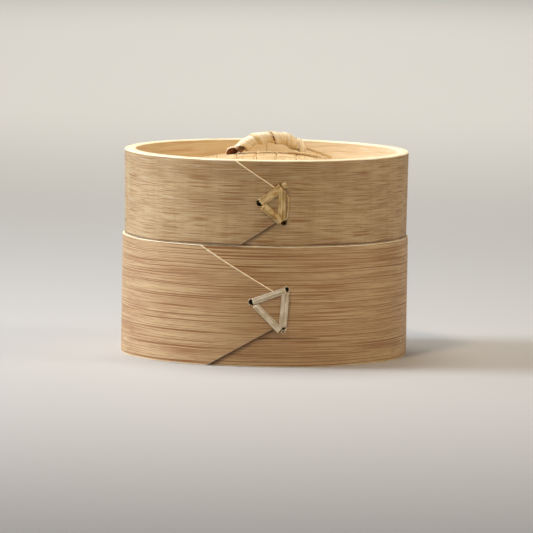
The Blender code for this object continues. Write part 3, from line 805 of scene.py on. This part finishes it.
def eased_path(corners, count):
    """A smooth path through corners given in millimetres."""
    ends = [corners[0]] + list(corners) + [corners[-1]]
    path = []
    for k in range(1, len(ends) - 2):
        p0, p1, p2, p3 = [Vector(ends[k + i - 1]) for i in range(4)]
        for i in range(count):
            t = i / count
            path.append(0.5 * MM * (2 * p1 + (p2 - p0) * t + (2 * p0 - 5 * p1 + 4 * p2 - p3) * t ** 2
                                    + (3 * p1 - p0 - 3 * p2 + p3) * t ** 3))
    path.append(Vector(corners[-1]) * MM)
    return path


def handle_core(name, side, finish):
    """One of the core's two half-round splints, with its thin tail out on the panel.

    side 1 is the upper splint, whose tail comes down behind; the other's lies in front.
    """
    start = -CORE_START if side > 0 else CORE_LATER - CORE_START
    inside = []
    for i in range(ARCH_STEPS + 1):
        share = start + (RIGHT_FOOT - start) * i / ARCH_STEPS
        along, height = arch(share)
        tilt = arch_tilt(share)
        rise = side * (CORE_THICKNESS / 2 + CORE_GAP)
        inside.append((along - rise * math.sin(tilt), 0.0, height + rise * math.cos(tilt)))
    foot = CROWN_TOP / MM
    if side > 0:
        corners = [(15.2, 0.3, foot + 3.4), (17.8, 0.6, foot + 2.4), (21.5, 1.4, foot + 1.3),
                   (25.5, 2.6, foot + 0.0), (29.5, 3.6, foot - 1.5), (33.6, 4.4, foot - 3.0)]
    else:
        corners = [(9.0, -4.0, foot + 0.3), (12.6, -4.6, foot + 0.1), (17.0, -5.4, foot - 0.4),
                   (20.6, -6.0, foot - 1.0), (24.4, -6.6, foot - 1.8)]
    parts = [flat_strip("splint", inside, CORE_WIDTH, CORE_THICKNESS, 0.75 * MM, finish),
             flat_strip("tail", eased_path(corners, 4), TAIL_WIDTH, TAIL_THICKNESS, 0.25 * MM, finish, 0.4)]
    return join(name, parts)


def handle_binding(finish):
    """A narrow upright strip over the handle's right foot, its legs reaching down to the panel."""
    half = BIND_WIDTH / 2
    middle = BIND_SHARE * HANDLE_HALF_SPAN
    inner = WRAP_RADIUS + 0.1 * MM
    foot = CROWN_TOP - 0.6 * MM         # the legs go down between the splints
    sunk = 0.4 * MM                     # pulled tight, it lies this deep in the wrap
    leg_steps = 6
    bow_steps = 24
    drop = arch(BIND_SHARE)[1] - foot
    turns = [math.pi * i / bow_steps for i in range(bow_steps + 1)]
    stops = [(-1.0, 0.0, drop * i / leg_steps) for i in range(leg_steps, 0, -1)]
    stops += [(-math.cos(turn), math.sin(turn), 0.0) for turn in turns]
    stops += [(1.0, 0.0, drop * i / leg_steps) for i in range(1, leg_steps + 1)]
    rings = []
    along = [0.0]
    spot = None
    for across, up, drop in stops:
        ring = []
        for depth, end, grain in eased_section(BIND_THICKNESS, -half, half, (0.15 * MM,) * 4, 2):
            share = (middle + end) / HANDLE_HALF_SPAN
            radius = inner + BIND_THICKNESS - depth
            height = arch(share)[1] + up * (radius / math.cos(arch_tilt(share)) - sunk)
            ring.append((handle_point(middle + end, across * radius, height - drop), grain))
        if spot:
            along.append(along[-1] + (ring[0][0] - spot).length)
        spot = ring[0][0]
        rings.append(ring)
    return loft("handle_binding", rings, along, (finish,), dressed(0, 0, 0, 2), place=0.9)


# ---- Lacing ----

def strip_body(name, wall, path, width_way, width, thickness, finish, place):
    """A thin strip along a path of (arc, height, lift); width_way is its width's direction.

    The three numbers count as one flat space, which is then wrapped onto the wall.
    """
    rings = []
    along = [0.0]
    for i, spot in enumerate(path):
        before = path[max(i - 1, 0)]
        after = path[min(i + 1, len(path) - 1)]
        run = (after - before).normalized()
        across = (width_way - run * width_way.dot(run)).normalized()
        outward = across.cross(run)
        ring = []
        for turn in circle(LACE_FACETS):
            side = math.copysign(abs(math.cos(turn)) ** 0.5, math.cos(turn)) * width / 2
            up = math.copysign(abs(math.sin(turn)) ** 0.6, math.sin(turn)) * thickness / 2
            arc, height, lift = spot + side * across + up * outward
            radius = wall(height)
            ring.append((on_wall(radius + lift, arc / radius, height), turn * width / 2))
        rings.append(ring)
        along.append(along[-1] + (after - spot).length)
    return loft(name, rings, along[:-1], (finish,), [0] * (LACE_FACETS + 1), place=place)


def lace_leg(wall, start, end, width, deep, finish, place):
    """One side of the triangle: up out of a hole, flat over the lap and down the next hole."""
    start = Vector((*start, 0)) * MM
    end = Vector((*end, 0)) * MM
    run = (end - start).normalized()
    top = LAP_STEP + LACE_THICKNESS / 2 + 0.1 * MM
    shares = [i / BEND_STEPS for i in range(BEND_STEPS + 1)]

    def bend(hole, inward, turn):
        level = top - LACE_BEND * (1 - math.cos(turn))
        return hole + inward * LACE_BEND * (1 - math.sin(turn)) + Vector((0, 0, level))

    path = [start + Vector((0, 0, -deep))]
    path += [bend(start, run, math.pi / 2 * (1 - share)) for share in shares]
    flat_steps = 8
    for i in range(1, flat_steps):
        share = i / flat_steps
        bow = LACE_BOW * math.sin(math.pi * share)
        path.append((start + run * LACE_BEND).lerp(end - run * LACE_BEND, share) + Vector((0, 0, top + bow)))
    path += [bend(end, -run, math.pi / 2 * share) for share in shares]
    path.append(end + Vector((0, 0, -deep)))
    across = Vector((-run.y, run.x, 0))
    return strip_body("leg", wall, path, across, width * MM, LACE_THICKNESS, finish, place)


def inner_band(wall, start, end, inset, finish, place):
    """The lacing's run on the inside of the wall, from one hole to another."""
    start = Vector((*start, -inset))
    end = Vector((*end, -inset))
    run = (end - start).normalized()
    path = [start.lerp(end, i / 8) for i in range(9)]
    path = [path[0] - run * LACE_WIDTH / 2] + path + [path[-1] + run * LACE_WIDTH / 2]
    across = Vector((-run.y, run.x, 0))
    return strip_body("band", wall, path, across, LACE_WIDTH, LACE_THICKNESS, finish, place)


def hole_lip(wall, hole, first, last, finish, place):
    """The lacing's second pass, seen on edge as it lies against the side of a hole."""
    reach = 1.6 * MM        # from the hole's middle
    steps = 12
    path = []
    for i in range(steps + 1):
        turn = math.radians(first + (last - first) * i / steps)
        path.append(Vector((hole[0] + reach * math.cos(turn), hole[1] + reach * math.sin(turn), 0.0)))
    return strip_body("lip", wall, path, Vector((0, 0, 1)), 3.4 * MM, 0.4 * MM, finish, place)


def lid_lacing(finish):
    deep = OUTER_STRIP + GAP + LID_INNER_STRIP + 2 * GAP
    inset = deep + LACE_THICKNESS / 2
    hole = LID_HOLES[1]
    parts = [
        lace_leg(lid_wall, (-2.6, 85.2), (7.6, 93.2), 4.1, deep, finish, 0.1),
        lace_leg(lid_wall, (-1.5, 83.5), (8.0, 75.7), 4.3, deep, finish, 0.2),
        lace_leg(lid_wall, (8.1, 91.4), (8.0, 76.2), 3.8, deep, finish, 0.3),
        inner_band(lid_wall, LID_HOLES[0], LID_HOLES[2], inset, finish, 0.4),
        inner_band(lid_wall, hole, (hole[0], hole[1] + LACE_TIE), inset, finish, 0.5),
    ]
    stub = [(8.3, 93.5, -2.5), (8.5, 93.7, 0.2), (8.9, 93.9, 1.1), (9.6, 94.3, 1.6), (10.4, 94.8, 1.8)]
    stub = [Vector(spot) * MM for spot in stub]
    parts.append(strip_body("stub", lid_wall, stub, Vector((-0.6, 1.0, 0)), 3.3 * MM, 0.9 * MM, finish, 0.6))
    strand = [(9.2, 89.0, 1.4), (10.1, 89.1, 1.5), (10.8, 88.7, 1.4), (11.2, 87.8, 1.3), (11.3, 85.5, 1.2),
              (11.3, 82.0, 1.1), (11.2, 79.5, 0.9), (10.9, 77.8, 0.6), (10.4, 76.4, -0.4)]
    strand = [Vector(spot) * MM for spot in strand]
    parts.append(strip_body("strand", lid_wall, strand, Vector((1, 0.2, 0)), 0.7 * MM, 0.5 * MM,
                            finish, 0.7))
    return join("lid_lacing", parts)


def basket_lacing(finish):
    deep = BASKET_RADIUS - SPIGOT_RADIUS + INNER_STRIP + 2 * GAP
    inset = deep + LACE_THICKNESS / 2
    hole = BASKET_HOLES[1]
    parts = [
        lace_leg(basket_wall, (-5.9, 34.1), (10.5, 40.1), 3.3, deep, finish, 0.1),
        lace_leg(basket_wall, (-4.6, 32.2), (8.0, 19.3), 3.4, deep, finish, 0.2),
        lace_leg(basket_wall, (10.6, 38.9), (9.3, 21.0), 3.9, deep, finish, 0.3),
        inner_band(basket_wall, BASKET_HOLES[0], BASKET_HOLES[2], inset, finish, 0.4),
        inner_band(basket_wall, hole, (hole[0], hole[1] + LACE_TIE), inset, finish, 0.5),
        hole_lip(basket_wall, BASKET_HOLES[0], 70, 255, finish, 0.6),
        hole_lip(basket_wall, BASKET_HOLES[1], -40, 120, finish, 0.7),
    ]
    curl = [Vector((11.9, 20.9, 0.5)), Vector((11.1, 20.1, 0.8))]
    for i in range(15):
        turn = math.radians(20 - 25 * i)
        reach = 0.95 - 0.025 * i
        curl.append(Vector((9.75 + reach * math.cos(turn), 18.75 + reach * math.sin(turn), 1.0)))
    curl = [spot * MM for spot in curl]
    parts.append(strip_body("curl", basket_wall, curl, Vector((0, 0, 1)), 1.9 * MM, 0.45 * MM, finish, 0.8))
    return join("basket_lacing", parts)


# ---- Putting it together ----

def make_basket(skin, edge, scraped, split, laced, whittled):
    """The bent wall, the grate inside it and the lacing that holds the lap."""
    bare = (scraped, edge)
    outer = lapped_hoop("basket_outer_hoop", basket_wall, 0.0, BASKET_TOP, BASKET_LAP,
                        (0.45 * MM, 0.3 * MM), (skin, edge, scraped), 0.0)
    middle = plain_hoop("basket_middle_hoop", basket_wall, LAP_STEP, MIDDLE_STRIP + MIDDLE_FILL,
                        0.0, BASKET_TOP, (0.25 * MM,) * 4, bare, 0.3)
    inset = BASKET_RADIUS - SPIGOT_RADIUS
    proud = (0.3 * MM, 0.8 * MM, 0.6 * MM, 0.3 * MM)
    inner = plain_hoop("basket_inner_hoop", basket_wall, inset, INNER_STRIP, SPIGOT_LOW.z, SPIGOT_HIGH.z,
                       proud, bare, 0.7)
    ring = plain_hoop("grate_ring", basket_wall, inset, INNER_STRIP, RING_LOW.z, RING_HIGH.z,
                      (0.5 * MM,) * 4, bare, 1.1)

    tools = hole_tools(basket_wall, BASKET_HOLES)
    crack = crack_tool()
    bores = peg_bores()
    drill(outer, tools + bores + [crack])
    drill(middle, tools + bores)
    drill(inner, tools)
    drill(ring, bores)
    discard(tools + bores + [crack])
    seat(outer, "basket")
    for hoop in (middle, inner, ring):
        seat(hoop, "basket")
    make_grate(split, whittled)
    seat(basket_lacing(laced), "basket")


def peg_run(way, name):
    """Where a peg starts and ends along X, and its middle."""
    low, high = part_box(f"peg_{name}")
    middle = (low + high) / 2
    return (high.x, low.x, middle) if way < 0 else (low.x, high.x, middle)


def peg_rings(start, end, middle, radii):
    """Rings of a round peg along X, with one radius for each of its stops."""
    rings = []
    for share, radius in radii:
        stop = start + (end - start) * share
        rings.append([(Vector((stop, middle.y + radius * math.cos(t), middle.z + radius * math.sin(t))),
                       t * radius) for t in circle(PEG_FACETS)])
    return rings


def peg_bores():
    """Round tools that cut the pegs' bores through the wall and into the bars."""
    tools = []
    for way, name in PEGS:
        start, end, middle = peg_run(way, name)
        bore = PEG_RADIUS + PEG_EASE
        rings = peg_rings(start - way * GAP, end + way * BORE_DEPTH, middle, ((0, bore), (1, bore)))
        tools.append(loft("bore_" + name, rings, (0.0, 10 * MM), (), [1] * (PEG_FACETS + 1)))
    return tools


def make_grate(split, whittled):
    """Slats across, the two bars under them and the pegs that hold the bars."""
    slat_middle = (SLAT_LOW.z + SLAT_HIGH.z) / 2
    width = SLAT_HIGH.x - SLAT_LOW.x
    radius = math.hypot(SLAT_HIGH.y, width / TIP_PART)
    for i, offset in enumerate(row(SLAT_COUNT, SLAT_STEP)):
        slat = splint(f"grate_slat_{i + 1:02d}", offset, width, SLAT_HIGH.z - SLAT_LOW.z, radius,
                      lambda along, across: slat_middle, False, 4 * MM, (split,), 0.31 * i, 0.4 * MM)
        seat(slat, "basket")
    bar_middle = (BAR_LOW.z + BAR_HIGH.z) / 2
    bores = peg_bores()
    for side, name in ((-1, "front"), (1, "back")):
        low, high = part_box("grate_bar_" + name)
        offset = (low.y + high.y) / 2
        width = high.y - low.y
        near = abs(offset) - width / 2 + width / TIP_PART
        bar = splint("grate_bar_" + name, offset, width, high.z - low.z, math.hypot(high.x, near),
                     lambda along, across: bar_middle, True, 4 * MM, (split,), 5 + side, 0.5 * MM)
        drill(bar, bores)
        seat(bar, "basket")
    discard(bores)
    whittled_to = ((0, 0.7 * PEG_RADIUS), (0.05, PEG_RADIUS), (0.5, PEG_RADIUS), (0.98, PEG_RADIUS),
                   (1, 0.8 * PEG_RADIUS))
    along = (0.0, 1 * MM, 6 * MM, 11 * MM, 12 * MM)
    for way, name in PEGS:
        start, end, middle = peg_run(way, name)
        rings = peg_rings(start, end - way * PEG_EASE, middle, whittled_to)
        peg = loft("peg_" + name, rings, along, (whittled,), [0] * (PEG_FACETS + 1))
        seat(peg, "basket")


def make_lid(skin, edge, scraped, split, laced, wrap, inside, core):
    """The lid's wall, the woven panel clamped between its inner hoops, the lacing and the handle."""
    bare = (scraped, edge)
    outer = lapped_hoop("lid_outer_hoop", lid_wall, LID_LOW.z, LID_HIGH.z, LID_LAP,
                        (0.15 * MM, RUBBED_EDGE), (skin, edge, scraped), LID_PLACE)
    inset = OUTER_STRIP + LID_JOINT
    thickness = LID_INNER_STRIP + GAP - LID_JOINT
    soft = (0.2 * MM, 0.2 * MM, 0.5 * MM, 0.5 * MM)
    upper = plain_hoop("lid_upper_hoop", lid_wall, inset, thickness, UPPER_LOW.z, UPPER_HIGH.z, soft,
                       bare, 2.6)
    lower = plain_hoop("lid_lower_hoop", lid_wall, inset, thickness, LOWER_LOW.z, LOWER_HIGH.z, soft,
                       bare, 3.1)
    tools = hole_tools(lid_wall, LID_HOLES)
    for hoop in (outer, upper, lower):
        drill(hoop, tools)
    discard(tools)
    seat(outer, "lid")
    for hoop in (upper, lower):
        seat(hoop, "lid")

    places = row(PANEL_SPLINTS, PANEL_STEP)
    width = PANEL_STEP - SPLINT_SPACE / 3
    radius = PANEL_RADIUS + 0.1 * MM
    for i, offset in enumerate(places):
        for along_x in (True, False):
            name = f"panel_splint_{'x' if along_x else 'y'}{i + 1:02d}"
            heights = weave_height(i + (0 if along_x else 1), places, width)
            piece = splint(name, offset, width, SPLINT_THICKNESS, radius, heights, along_x, 0.9 * MM,
                           (split,), 0.37 * i + (0.0 if along_x else 7.0), 0.18 * MM)
            seat(piece, "lid")
    seat(lid_lacing(laced), "lid")
    handle = (wound_strip(wrap, inside), handle_core("handle_core_back", 1, core),
              handle_core("handle_core_front", -1, core), handle_binding(wrap))
    for piece in handle:
        seat(piece, "lid")


# ---- Studio ----

LAMP_SPREAD = math.radians(70.0)
WORLD_GLOW = 0.07
# Lens in millimetres, its distance in metres, its height above level and its roll
LENS = 447.2
LENS_AWAY = 3.487
LENS_RISE = math.radians(5.25)
LENS_ROLL = math.radians(0.873)


def floor():
    """A wide sheet of matt pale card."""
    half = 6.0
    body = bmesh.new()
    corners = [body.verts.new((x * half, y * half, 0.0)) for x, y in ((-1, -1), (1, -1), (1, 1), (-1, 1))]
    body.faces.new(corners)
    mesh = bpy.data.meshes.new("floor_card")
    body.to_mesh(mesh)
    body.free()
    card = in_scene("floor_card", mesh)
    material = bpy.data.materials.new("matt_card")
    material.use_nodes = True
    shader = material.node_tree.nodes["Principled BSDF"]
    shader.inputs["Base Color"].default_value = linear("#BAB8B4")
    shader.inputs["Roughness"].default_value = 0.7
    mesh.materials.append(material)


def lamp(name, place, aim, size, power, colour):
    """A soft box that faces a point."""
    light = bpy.data.lights.new(name, "AREA")
    light.shape = "RECTANGLE"
    light.size, light.size_y = size
    light.energy = power
    light.color = linear(colour)[:3]
    light.spread = LAMP_SPREAD
    box = in_scene(name, light)
    box.location = place
    box.rotation_euler = (Vector(aim) - Vector(place)).to_track_quat("-Z", "Y").to_euler()


def studio():
    middle = (0.0, 0.0, 0.06)
    world = bpy.data.worlds.new("studio")
    bpy.context.scene.world = world
    world.use_nodes = True
    sky = world.node_tree.nodes["Background"]
    sky.inputs["Color"].default_value = linear("#F4F1EC")
    sky.inputs["Strength"].default_value = WORLD_GLOW
    bpy.context.scene.view_settings.view_transform = "Standard"
    lamp("key", (-1.6, 0.0, 1.1), middle, (0.7, 0.7), 6.7, "#E4EFFF")
    lamp("side", (-1.4, 0.8, 0.45), middle, (0.6, 0.6), 0.9, "#EEF4FF")
    lamp("top", (-0.2, 0.5, 1.8), middle, (0.8, 0.8), 2.9, "#FFFCF6")
    lamp("front", (-0.4, -0.9, 1.7), middle, (0.25, 0.25), 2.0, "#FFE6C8")
    lamp("right", (1.6, -0.3, 0.8), middle, (0.6, 0.6), 1.7, "#FFF0DE")
    lamp("card", (0.0, 2.3, 1.6), (0.0, 2.3, 0.0), (1.8, 2.8), 24.0, "#FFFCF6")


def camera():
    """A long lens, five degrees above the joint between basket and lid."""
    pivot = Vector((0.0, 0.0, 60 * MM))
    aim = Vector((0.8 * MM, 0.0, 45 * MM))
    place = pivot + LENS_AWAY * Vector((0.0, -math.cos(LENS_RISE), math.sin(LENS_RISE)))
    lens = bpy.data.cameras.new("camera")
    lens.sensor_width = 36.0
    lens.lens = LENS
    lens.clip_end = 50.0
    eye = in_scene("camera", lens)
    turn = (aim - place).to_track_quat("-Z", "Y").to_matrix() @ Matrix.Rotation(LENS_ROLL, 3, "Z")
    eye.matrix_world = Matrix.Translation(place) @ turn.to_4x4()
    bpy.context.scene.camera = eye


def main():
    camera()
    studio()
    floor()
    edge = cut_edge()
    scraped = scraped_hoop()
    split = split_splint()
    wrap = shaved_wrap()
    core = core_splint()
    lid_laced = lacing_strip("peeled_bamboo_lid_lacing", "#E8CD95", "#C39750", "#7E5726")
    # the wrap's inside: its brown side, drawn much darker as painted shade of the handle's deep bore
    inside = lacing_strip("wrap_inside_skin_and_painted_shade", "#8F5427", "#70391A", "#4A2410")
    basket_laced = lacing_strip("peeled_bamboo_basket_lacing", "#EDE0C8", "#D3C2A2", "#A08A62")
    make_basket(basket_skin(), edge, scraped, split, basket_laced, whittled_peg())
    make_lid(lid_skin(), edge, scraped, split, lid_laced, wrap, inside, core)


main()
